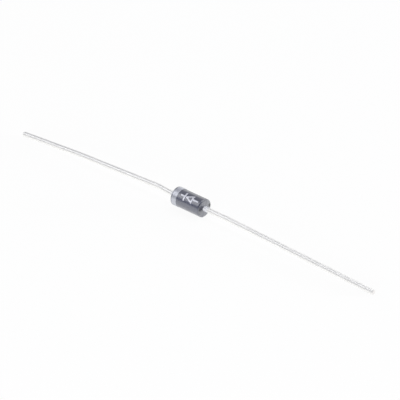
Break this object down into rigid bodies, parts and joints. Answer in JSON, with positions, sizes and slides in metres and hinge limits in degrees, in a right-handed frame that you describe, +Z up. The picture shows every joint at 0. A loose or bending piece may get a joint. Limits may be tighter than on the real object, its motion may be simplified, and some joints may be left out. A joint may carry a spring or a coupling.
{
  "type": "axial rectifier diode",
  "caption": "Small moulded cylinder with a silver cathode band and a long tinned wire out of each end, which lets current through one way.",
  "frame": {"origin": "middle of the moulded body, on its axis", "axes": "+X along the body towards the anode wire, so the banded end is at -X; +Z up from the table that the part lies on"},
  "size_m": [0.0624, 0.0026, 0.0026],
  "materials": {
    "moulded_epoxy": "slate-black epoxy moulding with a soft sheen",
    "silver_ink": "silver-grey marking ink, satin",
    "tinned_copper": "bright tin on copper wire, with faint drawing lines",
    "silicon": "etched silicon with plated faces",
    "solder": "dull solder",
    "soft_coating": "milky silicone resin"
  },
  "bodies": {
    "root": {"epoxy_body": "moulded_epoxy", "cathode_band": "silver_ink", "cathode_lead": "tinned_copper", "anode_lead": "tinned_copper", "silicon_die": "silicon", "cathode_solder": "solder", "anode_solder": "solder", "junction_coating": "soft_coating"}
  },
  "joints": []
}
